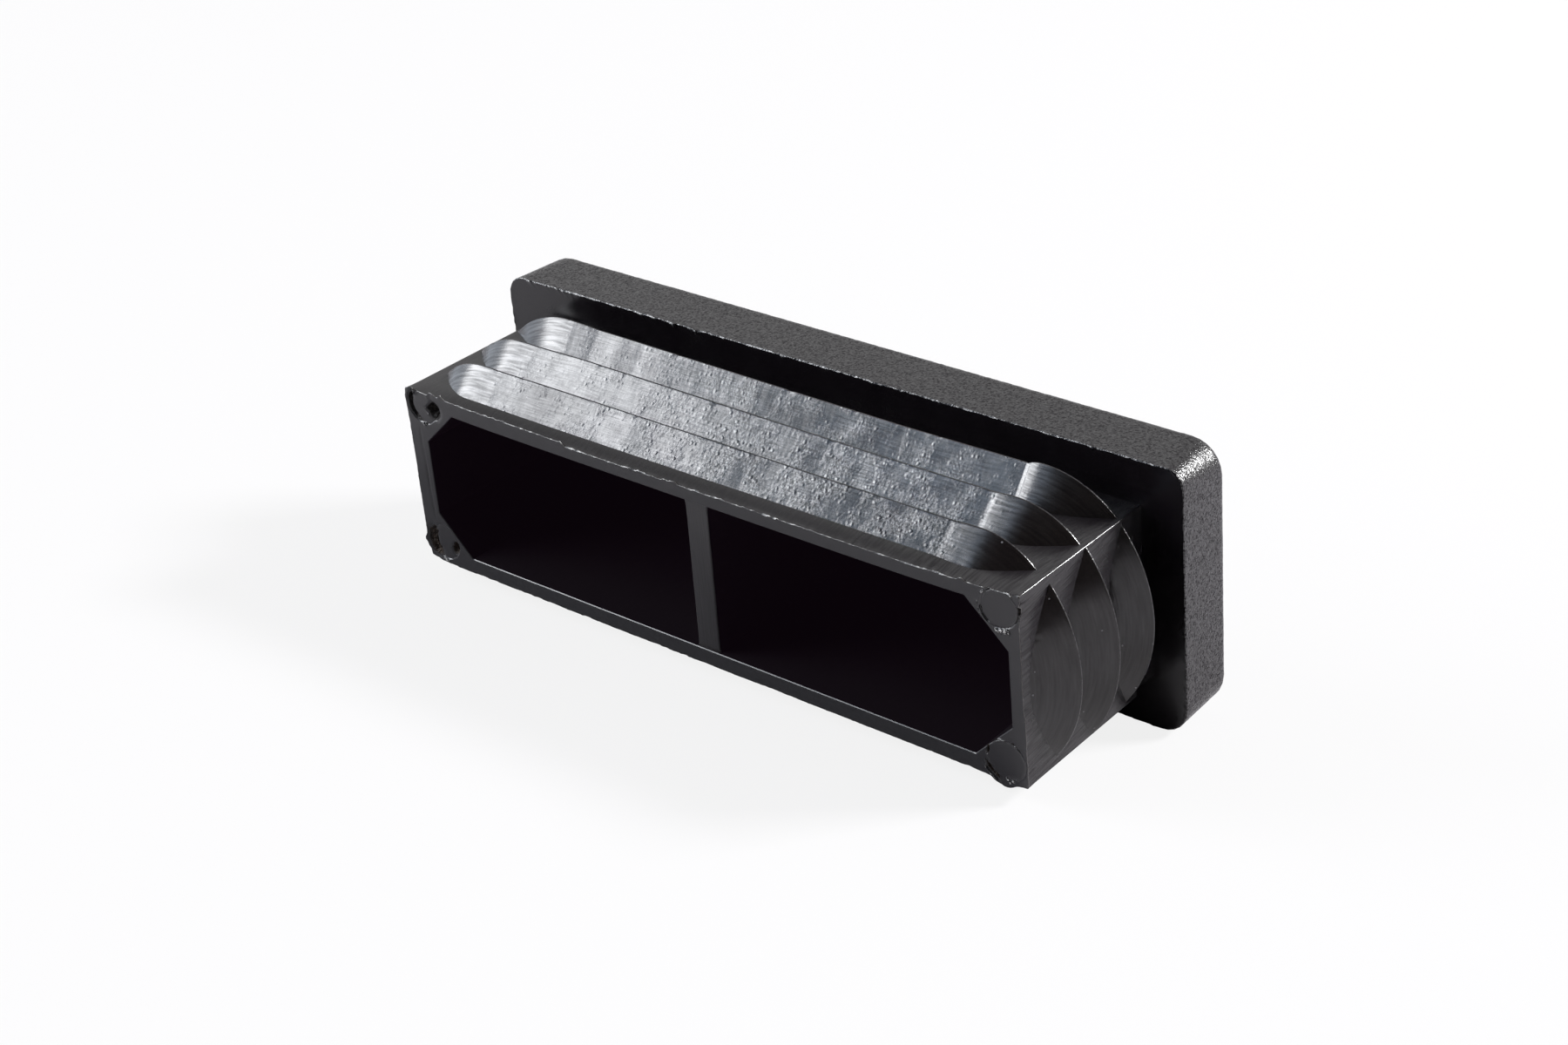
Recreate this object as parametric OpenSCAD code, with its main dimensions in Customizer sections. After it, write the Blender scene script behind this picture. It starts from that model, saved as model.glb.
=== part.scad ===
// Ribbed end cap that plugs the open end of a rectangular tube, moulded in one piece.
// The cap lies on a long side: X runs along the long side, Z along the short side,
// and the insert points along -Y. The origin is the middle of the seat, the plane
// y = 0 where the end of the tube stops against the back of the head.
// The modules are drawn upright, with z = 0 at the seat and z rising to the rim.

/* [Head] */
// Width of the head, as wide as the outside of the tube
head_w = 60; // [45:0.5:90]
// Height of the head, as high as the outside of the tube
head_h = 20; // [20:0.5:45]
// Thickness of the head, from the seat to the show face
head_t = 5; // [3:0.1:8]
// Radius of the four corners of the head
head_corner_r = 2.5; // [1.5:0.1:5]
// Radius of the rounding all round the show face
head_edge_r = 0.7; // [0.3:0.1:1.4]
// Distance that the head stands out past the walls of the insert
head_overhang = 3; // [2.6:0.1:4]

/* [Insert] */
// Length of the insert, from the seat to the rim
insert_l = 13.7; // [12.5:0.1:20]
// Thickness of the two short side walls
side_wall = 1; // [0.8:0.1:1.6]
// Thickness of the two long walls
long_wall = 1.2; // [0.8:0.1:1.6]
// Solid thickness left between the hollow and the show face
floor_t = 3; // [1.5:0.1:4.5]
// Leg of the chamfer in each corner of the hollow
hollow_chamfer = 3; // [2:0.1:4]
// Bevel on the inner edge of the rim
rim_bevel = 0.1; // [0.05:0.05:0.4]
// Thickness of the web that joins the two long walls
web_t = 1.9; // [1.2:0.1:3]
// Distance of the web from the middle of the hollow
web_shift = 0.6; // [-4:0.1:4]
// Distance of the web's edge from the rim
web_drop = 0.2; // [0:0.1:4]
// Depth of the relief round the foot of the insert
relief_d = 0.25; // [0.1:0.05:0.5]
// Length of the relief, from the seat
relief_l = 1.4; // [0.5:0.1:1.8]

/* [Fins] */
// Number of fins along the insert
fin_count = 3; // [1:1:3]
// Distance from one crest to the next
fin_pitch = 3.9; // [3:0.1:4.4]
// Distance from the rim to the crest of the first fin
fin_start = 3.3; // [3:0.1:3.4]
// Angle between the sloping face of a fin and the wall
fin_angle = 45; // [40:1:60]
// Width of the flat on a crest
crest_t = 0.1; // [0.1:0.05:0.4]
// Distance from the end of the highest fin to the corner of the insert
fin_end_gap = 0.2; // [0:0.1:1]
// Height of the first crest over a long wall, the lowest, which leads the cap in
long_fin_h = 1.7; // [1.2:0.1:1.9]
// Height that each further fin on a long wall gains
long_fin_rise = 0.3; // [0:0.05:0.3]
// Depth under a long wall of the axes about which the ends of its fins turn
long_fin_axis = 4.6; // [3:0.1:8]
// Height of the first crest over a short wall
short_fin_h = 2.15; // [1.2:0.05:2.2]
// Height that each further fin on a short wall gains
short_fin_rise = 0.1; // [0:0.05:0.15]
// Depth under a short wall of the axes about which the ends of its fins turn
short_fin_axis = 8.4; // [5:0.1:12]

/* [Ejector marks] */
// Diameter of the round mark in each corner of the rim
mark_d = 2.8; // [2:0.1:2.8]
// Depth of the mark
mark_depth = 0.15; // [0.1:0.05:0.6]
// Distance from the middle of the mark to both outer faces
mark_inset = 1.5; // [1.5:0.1:2]

/* [Hidden] */
$fn = 96;

// Overlap that lets cuts and joined bodies pass through each other's faces
pass = 0.2;
insert_w = head_w - 2 * head_overhang;
insert_h = head_h - 2 * head_overhang;
hollow_w = insert_w - 2 * side_wall;
hollow_h = insert_h - 2 * long_wall;
hollow_bottom = floor_t - head_t;
hollow_l = insert_l - hollow_bottom;
fin_numbers = [0 : fin_count - 1];
long_fins = [for (i = fin_numbers) long_fin_h + i * long_fin_rise];
short_fins = [for (i = fin_numbers) short_fin_h + i * short_fin_rise];

// Length along the wall in which a fin runs out to nothing, past the axis of its end
function run_out(height, axis) = sqrt(height * (height + 2 * axis));

// Section of the head in a slice along one of its sides, with the show face rounded
module head_section(width) {
    flat = width / 2 - head_edge_r;
    translate([-width / 2, head_edge_r - head_t]) square([width, head_t - head_edge_r]);
    translate([-flat, -head_t]) square([2 * flat, head_t]);
    for (side = [-1, 1])
        translate([side * flat, head_edge_r - head_t]) circle(head_edge_r);
}

// Corner of the head: the same section turned about the axis of the corner
module head_corner() {
    rotate_extrude() intersection() {
        head_section(2 * head_corner_r);
        translate([0, -head_t]) square([head_corner_r, head_t]);
    }
}

module head() {
    across = head_w - 2 * head_corner_r;
    along = head_h - 2 * head_corner_r;
    for (x = [-1, 1], y = [-1, 1])
        translate([x * across / 2, y * along / 2, 0]) head_corner();
    rotate([90, 0, 0]) linear_extrude(along, center = true) head_section(head_w);
    rotate([90, 0, 90]) linear_extrude(across, center = true) head_section(head_h);
}

// Outline of the hollow, a rectangle with chamfered corners
module hollow_outline() {
    x = hollow_w / 2;
    y = hollow_h / 2;
    c = hollow_chamfer;
    polygon([
        [c - x, -y], [x - c, -y], [x, c - y], [x, y - c],
        [x - c, y], [c - x, y], [-x, y - c], [-x, c - y]
    ]);
}

module hollow() {
    translate([0, 0, hollow_bottom]) linear_extrude(hollow_l + pass) hollow_outline();
    flare = [1 + 2 * rim_bevel / hollow_w, 1 + 2 * rim_bevel / hollow_h];
    translate([0, 0, insert_l - rim_bevel])
        linear_extrude(rim_bevel, scale = flare, slices = 1, $fn = 0) hollow_outline();
}

// Side view of a fin that stands out to the given radius from the axis of its ends:
// a flat crest, a steep back towards the seat and a slope towards the rim
module fin_section(axis, height, crest_z) {
    radius = axis + height;
    rise = height + pass;
    foot_z = crest_z + rise / tan(fin_angle);
    polygon([
        [0, crest_z - crest_t], [radius, crest_z - crest_t], [radius, crest_z],
        [radius - rise, foot_z], [0, foot_z]
    ]);
}

// One fin on a wall that faces +Y: straight up to the given distance from the middle, then
// with a cone at each end, and cut off where it passes the wall's ends or goes under its face
module fin(wall_length, axis, straight, height, crest_z) {
    intersection() {
        translate([0, -axis, 0]) {
            for (side = [-1, 1])
                translate([side * straight, 0, 0]) rotate_extrude() fin_section(axis, height, crest_z);
            if (straight > 0)
                rotate([90, 0, 90]) linear_extrude(2 * straight, center = true)
                    fin_section(axis, height, crest_z);
        }
        translate([-wall_length / 2, -pass, 0]) cube([wall_length, height + 2 * pass, insert_l]);
    }
}

// The fins of one wall that faces +Y, from the rim to the seat, with the ends of all of them
// turned about the same two axes
module wall_fins(wall_length, axis, heights) {
    straight = max(0, wall_length / 2 - fin_end_gap - run_out(max(heights), axis));
    for (i = fin_numbers)
        fin(wall_length, axis, straight, heights[i], insert_l - fin_start - i * fin_pitch);
}

module fins() {
    for (turn = [0, 180]) rotate(turn) {
        translate([0, insert_h / 2, 0]) wall_fins(insert_w, long_fin_axis, long_fins);
        rotate(90) translate([0, insert_w / 2, 0]) wall_fins(insert_h, short_fin_axis, short_fins);
    }
}

// Outer body of the insert, with the relief at its foot
module insert_body() {
    translate([-insert_w / 2, -insert_h / 2, relief_l])
        cube([insert_w, insert_h, insert_l - relief_l]);
    translate([relief_d - insert_w / 2, relief_d - insert_h / 2, -pass])
        cube([insert_w - 2 * relief_d, insert_h - 2 * relief_d, relief_l + 2 * pass]);
}

module web() {
    translate([web_shift - web_t / 2, -insert_h / 2 + long_wall / 2, hollow_bottom - pass])
        cube([web_t, insert_h - long_wall, hollow_l - web_drop + pass]);
}

module ejector_marks() {
    for (x = [-1, 1], y = [-1, 1])
        translate([
            x * (insert_w / 2 - mark_inset), y * (insert_h / 2 - mark_inset), insert_l - mark_depth
        ])
            cylinder(d = mark_d, h = mark_depth + pass);
}

module end_cap() {
    color([0.1, 0.1, 0.11]) rotate([90, 0, 0]) difference() {
        union() {
            difference() {
                union() {
                    head();
                    insert_body();
                    fins();
                }
                hollow();
            }
            web();
        }
        ejector_marks();
    }
}

end_cap();
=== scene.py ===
import math

import bmesh
import bpy
import numpy as np
from mathutils import Matrix, Quaternion, Vector


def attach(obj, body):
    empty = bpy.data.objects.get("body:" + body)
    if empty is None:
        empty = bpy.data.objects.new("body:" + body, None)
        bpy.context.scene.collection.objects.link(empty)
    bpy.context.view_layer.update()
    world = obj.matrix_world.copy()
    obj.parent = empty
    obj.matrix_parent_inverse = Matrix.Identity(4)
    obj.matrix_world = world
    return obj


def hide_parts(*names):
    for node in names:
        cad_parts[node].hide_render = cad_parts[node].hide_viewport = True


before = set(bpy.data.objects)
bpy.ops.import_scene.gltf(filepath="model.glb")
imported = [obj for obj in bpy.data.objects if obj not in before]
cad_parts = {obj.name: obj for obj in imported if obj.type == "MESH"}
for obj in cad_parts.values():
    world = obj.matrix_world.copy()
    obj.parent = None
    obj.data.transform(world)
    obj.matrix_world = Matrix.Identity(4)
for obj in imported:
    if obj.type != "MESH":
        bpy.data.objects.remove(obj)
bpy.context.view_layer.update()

# The shapes are worked out in millimetres in the part's frame: X along the long side, Z along the
# short side, and the insert points along -Y. A depth is counted from the rim towards the head.
MM = 0.001
HEAD_W, HEAD_H, HEAD_T = 60.0, 20.0, 5.0
HEAD_EDGE_R = 0.7
HEAD_PROUD = 0.02
HEAD_CUT = 2.6
HEAD_CORE = ((-28.5, -9.0, -8.5), (28.5, 3.5, 8.5))
GRAIN_DEPTH = 0.011
MIDLINE_HALF = 20.0
INSERT_W, INSERT_H, INSERT_L = 54.0, 14.0, 13.7
INSERT_EDGE_R = 0.086
SIDE_WALL, LONG_WALL = 1.0, 1.2
HOLLOW_CHAMFER = 3.0
POCKET_Y = 2.0
RIM_BEVEL = 0.05
RIM_SINK, RIM_LEAST = 0.12, 0.004
RIM_EDGE = 0.08
RELIEF_D, RELIEF_L = 0.25, 1.4
WEB_T, WEB_X, WEB_DROP = 1.9, 0.6, 0.2
WEB_EDGE_R, WEB_OVERLAP = 0.12, 0.2

# Places of the finishes in the lists for the insert, the head and the web
SATIN, SLOPE, RIM, HOLLOW, FLASH = range(5)
SEAT, GRAIN, POCKET = range(3)
WEB_EDGE, WEB_SIDE = range(2)

# Depth of the three crests from the rim, and rise of each slope for a step in depth
FIN_CREST, FIN_PITCH = (3.3, 7.2, 11.1), 3.9
FIN_RISE = (0.88, 0.88, 1.28)

# Rows of a fin. The slope stops just under the top of the crest. The crest's rows are (depth
# past its start, distance under its top), and those of the back are shares of its height.
SLOPE_ROWS, SLOPE_STOP = 15, 0.025
CREST_T = 0.13
CREST_ROWS = ((0.0, 0.006), (0.03, 0.0), (0.1, 0.006), (CREST_T, 0.03))
BACK_ROWS = (0.7, 0.35, 0.0)

# Fins of the long and the short walls, one value for each crest: the height over the wall at the
# arcs, how deep under the wall their axes lie, and how far these are from the wall's middle
LONG_FINS = dict(height=(1.72, 2.0, 2.34), axis=(3.95, 4.4, 5.5), straight=(21.95, 21.9, 21.1))
SHORT_FINS = dict(height=(2.15, 2.34, 2.31), axis=(8.3, 9.2, 8.4), straight=(0.0, 0.0, 0.0))

# How much lower than its arcs each crest of a long wall is, at places along X
DIP_X = (-21.0, -16.0, 0.0, 10.0, 19.0)
CREST_DIP = (
    (0.03, -0.01, 0.0, 0.07, 0.09),
    (0.03, -0.09, 0.02, 0.1, 0.1),
    (0.11, 0.11, 0.29, 0.36, 0.26),
)

# Where the right arcs break off towards the middle of a long wall: how far before their axis,
# and the share of the dip that is a sudden step there. The left arcs fade into the middle.
ARC_START = (2.1, 1.6, 1.0)
ARC_STEP = (0.12, 0.15, 0.35)
LEFT_START = 3.0

# Warp of the moulding: how far the rim's corners have moved in X and Z, and how far the top wall
# has sunk at the middle of the rim
WARP = {(1, 1): (0.0, 0.0), (1, -1): (0.0, -0.15), (-1, 1): (-0.42, 0.0), (-1, -1): (-0.7, -0.15)}
BOW, BOW_FADE = 0.36, 0.95

# Flash on the rim's top edge: beads as (height, start and end in X, length of the soft ends),
# and spikes as (height, X, half width)
BEADS = ((0.08, -11, 12, 1), (0.12, -6.4, 0.4, 0.6), (0.16, 1.9, 4.6, 0.6), (0.22, 19.9, 24.8, 0.6))
SPIKES = ((0.3, -23.4, 0.2), (0.16, -24.3, 0.25))

# How far the hollow's corners lie off their places, for each sign of X and Z: the left wall is
# thicker than the right one, and the top wall thinner than the bottom one
HOLLOW_SHIFT = {
    (1, 1): ((-0.18, 0.18), (0.0, 0.0)),
    (1, -1): ((0.0, 0.0), (0.0, 0.0)),
    (-1, 1): ((0.6, 0.26), (0.66, 0.34)),
    (-1, -1): ((0.66, 0.0), (0.66, 0.0)),
}

# Corner of the head: radius at the seat and at the show face, for each sign of X and Z
HEAD_CORNER = {(1, 1): (1.3, 2.5), (1, -1): (2.1, 2.5), (-1, -1): (2.1, 2.5), (-1, 1): (1.7, 2.5)}

# Distances in metres within which points are merged and faces count as flat, and the angle
# from which an edge is sharp
MERGE_M, FLAT_M, SHARP_DEG = 2e-7, 1e-8, 32

# Steps along the outlines: in a long straight, a short straight and a corner
INSERT_STEPS = (256, 26, 62)
HEAD_STEPS = (460, 124, 24)

# Rings of points round an ejector mark: radii on its disc, and distances from the disc's edge
DISC_RINGS = (0, 0.35, 0.6, 0.76, 0.9, 1.04, 1.16, 1.26)
GAP_RINGS = (-0.1, -0.06, -0.03, 0.0, 0.03, 0.06, 0.09, 0.12, 0.16, 0.21)


def lattice_value(ix, iy, iz, seed):
    """Number from -1 to 1 for each whole-number point of a lattice, mixed from its integers."""
    mixed = (ix * 374761393 + iy * 668265263 + iz * 1440670441 + seed * 1274126177) & 0xFFFFFFFF
    mixed = ((mixed ^ (mixed >> 13)) * 1274126177) & 0xFFFFFFFF
    mixed = ((mixed ^ (mixed >> 16)) * 668265263) & 0xFFFFFFFF
    return (mixed ^ (mixed >> 15)) / 2147483647.5 - 1


def lumps(points, cell, seed):
    """Smooth noise from -1 to 1: lattice values at the eight corners of each cell, blended with
    the weights t * t * (3 - 2 t) of the place in the cell."""
    t = np.asarray(points, float) / cell
    base = np.floor(t).astype(np.int64)
    t = t - base
    t = t * t * (3 - 2 * t)
    total = 0
    for corner in np.ndindex(2, 2, 2):
        weight = np.prod(np.where(corner, t, 1 - t), axis=-1)
        at = base + corner
        total = total + weight * lattice_value(at[..., 0], at[..., 1], at[..., 2], seed)
    return total


def lumps_on(x, z, cell, seed):
    """Smooth noise on a plane of two coordinates."""
    x, z = np.broadcast_arrays(x, z)
    return lumps(np.stack([x, z, np.zeros_like(x)], axis=-1), cell, seed)


def flecks(x, z, cell, seed, base, gain=1.0):
    """Noise on a plane times a gain and over a base, held between 0 and 1."""
    return np.clip(base + gain * lumps_on(x, z, cell, seed), 0, 1)


def ramp(distance, length):
    """0 up to a place and 1 from the given length past it on, with a straight run between."""
    return np.clip(distance / length, 0, 1)


def hump(distance, width):
    """1 at a place, falling off on both sides as exp(-(distance / width)^2)."""
    return np.exp(-((distance / width) ** 2))


def window(x, start, stop, soft):
    """1 between two places and 0 outside, with ramps of the given length inside it."""
    return ramp(x - start, soft) * ramp(stop - x, soft)


def straight_run(start, stop, steps):
    """Evenly spaced points from one place to another, both of them included."""
    share = np.linspace(0, 1, steps + 1)[:, None]
    return start + (np.array(stop) - start) * share


def quarter(half_w, half_h, radius, x_cut, z_cut, steps):
    """Corner of an outline in the first quarter: straight from (x_cut, half_h), a quarter of a
    circle of the given radius, and straight down to (half_w, z_cut). The arc takes a share of
    the steps, and the two straights the rest by length."""
    arc_steps = steps // 4
    mid_x, mid_z = half_w - radius, half_h - radius
    share = (mid_x - x_cut) / (mid_x - x_cut + mid_z - z_cut)
    x_steps = max(1, round((steps - arc_steps) * share))
    turn = np.linspace(0, math.pi / 2, arc_steps, endpoint=False)
    first = straight_run((x_cut, half_h), (mid_x, half_h), x_steps)
    arc = np.stack([mid_x + radius * np.sin(turn), mid_z + radius * np.cos(turn)], axis=1)
    last = straight_run((half_w, mid_z), (half_w, z_cut), steps - arc_steps - x_steps)
    return np.concatenate([first[:-1], arc, last])


def ring(quarters, long_steps, short_steps):
    """Closed outline, clockwise as seen from the rim, from the four corners and the straights
    between them. It starts at the top right corner, and each point is there once."""
    corners = []
    for signs in ((1, 1), (1, -1), (-1, -1), (-1, 1)):
        way = signs[0] * signs[1]
        corners.append(quarters[signs][::way] * signs)
    runs = []
    for number, steps in enumerate((short_steps, long_steps) * 2):
        corner, following = corners[number], corners[(number + 1) % 4]
        runs += [corner[:-1], straight_run(corner[-1], following[0], steps)[:-1]]
    return np.concatenate(runs)


def grid_faces(rows, columns, closed):
    """Corners of the quads of a grid of points, row by row. A closed grid joins its last column
    to its first."""
    index = np.arange(rows * columns).reshape(rows, columns)
    right = np.roll(index, -1, axis=1)
    if not closed:
        index, right = index[:, :-1], right[:, :-1]
    return np.stack([index[:-1], right[:-1], right[1:], index[1:]], axis=-1).reshape(-1, 4)


def make_piece(name, grids, finishes):
    """Mesh object from grids of points in millimetres. Each grid is (points, closed, finish),
    where finish is one number or one for each row of quads. Points that meet are merged, and
    the faces are turned outwards."""
    points, faces, finish_of = [], [], []
    first = 0
    for grid, closed, finish in grids:
        rows, columns = grid.shape[:2]
        quads = grid_faces(rows, columns, closed)
        points.append(grid.reshape(-1, 3))
        faces.append(quads + first)
        finish_of.append(np.repeat(np.broadcast_to(finish, rows - 1), len(quads) // (rows - 1)))
        first += rows * columns
    mesh = bpy.data.meshes.new(name)
    mesh.from_pydata(np.concatenate(points) * MM, [], np.concatenate(faces).tolist())
    for finish in finishes:
        mesh.materials.append(finish)
    mesh.polygons.foreach_set("material_index", np.concatenate(finish_of).astype(np.int32))
    work = bmesh.new()
    work.from_mesh(mesh)
    bmesh.ops.remove_doubles(work, verts=work.verts, dist=MERGE_M)
    bmesh.ops.dissolve_degenerate(work, edges=work.edges, dist=FLAT_M)
    bmesh.ops.recalc_face_normals(work, faces=work.faces)
    work.to_mesh(mesh)
    work.free()
    mesh.polygons.foreach_set("use_smooth", np.ones(len(mesh.polygons), bool))
    mesh.set_sharp_from_angle(angle=math.radians(SHARP_DEG))
    piece = bpy.data.objects.new(name, mesh)
    bpy.context.scene.collection.objects.link(piece)
    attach(piece, "root")
    return piece


def place(flat, depth):
    """Points from their X and Z and the depth from the rim, on the warped moulding. The rim's
    corners move by WARP, weighted by (1 + x / half) (1 + z / half) / 4 and by the height over
    the seat, and the top wall sinks by BOW (1 - (x / half)^6) exp(-(depth / fade)^2)."""
    x, depth, z = np.broadcast_arrays(flat[..., 0], depth, flat[..., 1])
    over_x = np.clip(x / (INSERT_W / 2), -1, 1)
    over_z = np.clip(z / (INSERT_H / 2), -1, 1)
    height = np.clip(1 - depth / INSERT_L, 0, 1)
    sink = BOW * (1 - over_x**6) * hump(depth, BOW_FADE) * np.clip(over_z, 0, 1)
    shift_x, shift_z = swell(x, depth, z)
    shift_z = shift_z - sink
    for (sign_x, sign_z), (move_x, move_z) in WARP.items():
        weight = (1 + sign_x * over_x) * (1 + sign_z * over_z) / 4 * height
        shift_x = shift_x + move_x * weight
        shift_z = shift_z + move_z * weight
    return np.stack([x + shift_x, depth - INSERT_L, z + shift_z], axis=-1)


# Depth over which the swells at the marks fade, and how far the right edge is worn back
SWELL_FADE, WORN_EDGE = 0.7, 0.1

# Ejector marks: the middle, the radius of the disc and how far it lies under the rim. Round it
# lie pits and lips of flash, each one (angle, distance from the middle, half angle, half width,
# depth or height), and swells are (angle, half angle, distance) by which the walls are pushed
# out or rubbed off there. Angles are in degrees, from +X towards +Z as seen from the rim.
MARKS = (
    dict(at=(25.42, 5.74), r=1.37, sink=0.03,
         pits=((190, 1.42, 6, 0.07, 0.25), (214, 1.42, 18, 0.06, 0.3), (120, 1.42, 8, 0.06, 0.2),
               (95, 1.42, 7, 0.06, 0.2), (8, 1.42, 14, 0.05, 0.25), (338, 1.42, 12, 0.05, 0.25)),
         lips=((142, 1.53, 9, 0.08, 0.12), (62, 1.53, 15, 0.08, 0.15), (282, 1.56, 22, 0.15, 0.22),
               (190, 1.6, 40, 0.03, 0.04)),
         swells=()),
    dict(at=(25.42, -5.55), r=1.5, sink=0.03,
         pits=((165, 1.55, 12, 0.08, 0.3), (214, 1.66, 18, 0.13, 0.35), (242, 1.65, 12, 0.12, 0.3),
               (70, 1.55, 6, 0.06, 0.2), (50, 1.55, 8, 0.06, 0.2)),
         lips=((280, 1.4, 24, 0.15, 0.24), (100, 1.6, 14, 0.06, 0.07), (225, 1.9, 22, 0.06, 0.08)),
         swells=((262, 32, 0.55),)),
    dict(at=(-25.43, 6.06), r=1.4, sink=0.04,
         pits=((196, 1.24, 58, 0.24, 0.35), (356, 1.12, 30, 0.6, 0.5), (88, 1.42, 22, 0.05, 0.1)),
         lips=((275, 1.46, 8, 0.13, 0.2), (96, 1.14, 44, 0.15, 0.24), (328, 0.78, 14, 0.05, 0.1)),
         swells=((184, 38, 0.12), (100, 28, 0.42))),
    dict(at=(-25.1, -5.2), r=1.4, sink=0.04,
         pits=((188, 1.38, 56, 0.48, 0.28), (190, 1.0, 46, 0.12, 0.4), (347, 1.05, 26, 0.3, 0.42)),
         lips=((264, 1.5, 12, 0.15, 0.2), (205, 1.68, 12, 0.06, 0.1)),
         swells=((225, 20, -0.35), (190, 18, 0.26))),
)


def turn_from(angle, middle):
    """Angle from a direction, from -180 to 180 degrees."""
    return (angle - middle + 180) % 360 - 180


def patch(angle, away, spot):
    """Flat-topped hump at a place round a mark: height * exp(-((turn / half angle)^2 + (off /
    half width)^2)^2), where off is the distance from the spot's own distance."""
    middle, distance, half_angle, half_width, height = spot
    turn = turn_from(angle, middle) / half_angle
    off = (away - distance) / half_width
    return height * np.exp(-((turn**2 + off**2) ** 2))


def polar(x, z, mark):
    """Distance from the middle of a mark, and the angle in degrees."""
    dx, dz = x - mark["at"][0], z - mark["at"][1]
    return np.hypot(dx, dz), np.degrees(np.arctan2(dz, dx))


def swell(x, depth, z):
    """Moves of X and Z near the rim by the swells: away from the middle of the mark, as a hump of
    the angle round it, fully from the disc's edge outwards, and fading with the depth. The
    upper part of the right edge is worn back."""
    worn = WORN_EDGE * window(z, -1.7, 6.5, 0.25) * ramp(x - 26.3, 0.5)
    move_x, move_z = -worn * hump(depth, 0.6), 0.0 * z
    fade = hump(depth, SWELL_FADE)
    for number, mark in enumerate(MARKS):
        away, angle = polar(x, z, mark)
        near = ramp(away - 1.0, 0.45) ** 1.5 * ramp(3.6 - away, 0.8)
        uneven = 1 + 0.25 * lumps_on(x, z, 0.45, 90 + number)
        for middle, half_angle, distance in mark["swells"]:
            push = distance * hump(turn_from(angle, middle), half_angle) * near * uneven * fade
            move_x = move_x + push * (x - mark["at"][0]) / np.maximum(away, 0.1)
            move_z = move_z + push * (z - mark["at"][1]) / np.maximum(away, 0.1)
    return move_x, move_z


def rim_lift(x, z):
    """Height of the rim's surface over its plane: fine unevenness, and at each mark a disc that
    lies lower, a thin gap round it, pits and ragged lips of flash. Their places are those after
    the swells. A shallow groove runs down the left part of the rim."""
    move_x, move_z = swell(x, 0.0, z)
    x, z = x + move_x, z + move_z
    lift = 0.006 * lumps_on(x, z, 0.9, 3)
    lift = lift - 0.05 * hump(x + 25.9 + 0.03 * z, 0.06) * window(z, -3.4, 4.2, 0.5)
    for number, mark in enumerate(MARKS):
        away, angle = polar(x, z, mark)
        rough = lumps_on(x, z, 0.13, 40 + number)
        coarse = lumps_on(x, z, 0.4, 50 + number)
        radius = mark["r"] * (1 + 0.02 * coarse)
        disc = mark["sink"] * ramp(radius - away, 0.04)
        gap = 0.04 * hump(away - radius, 0.05) * (1 + 0.8 * coarse)
        pits = sum(patch(angle, away + 0.05 * coarse, spot) for spot in mark["pits"])
        lips = sum(patch(angle, away + 0.04 * rough, spot) for spot in mark["lips"])
        lift = lift - disc - gap - pits * (1 + 0.35 * rough)
        lift = lift + lips * np.clip(0.55 + 0.9 * rough, 0, 1.3)
    return lift


def rim_depth(flat):
    """Depth of the rim's surface at X and Z, held just inside the length of the insert."""
    return np.maximum(RIM_SINK - rim_lift(flat[..., 0], flat[..., 1]), RIM_LEAST)


def on_rim(flat):
    """Points of the rim's surface at X and Z."""
    return place(flat, rim_depth(flat))


def crest_dip(x, number):
    """How much a long wall's crest lies under the top of its arcs at X: the measured dip up to
    the start of the arc, then a sudden step on the right side, and from there the square of
    what is left up to the arc's axis."""
    before = LONG_FINS["straight"][number] - np.abs(x)
    start = np.where(x < 0, LEFT_START, ARC_START[number])
    step = np.where(x < 0, 0.0, ARC_STEP[number])
    arc = ramp(before, start) ** 2 * (1 - step)
    sudden = step * ramp(before - start, 0.08)
    return np.interp(x, DIP_X, CREST_DIP[number]) * (arc + sudden)


def slope_skin(wall, depth, number):
    """Unevenness of a long wall's slope between its arcs: broad upright bands, and the lumps of
    a mould face that was eroded and then struck. Each slope lies on its own plane of noise."""
    plane = 10.0 * number + 50.0 * (wall[:, 1] < 0)
    x, depth, plane = np.broadcast_arrays(wall[:, 0], depth, plane)
    across = np.stack([x, 0 * x, plane], axis=-1)
    bands = 0.026 * lumps(across, 2.3, 31) + 0.003 * lumps(across, 0.9, 32)
    lumpy = 0.004 * lumps(np.stack([x, depth, plane], axis=-1), 0.7, 33)
    end = LONG_FINS["straight"][number] - np.where(x < 0, LEFT_START, ARC_START[number])
    return (bands + lumpy) * ramp(end - np.abs(x), np.where(x < 0, LEFT_START, 0.3))


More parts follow.
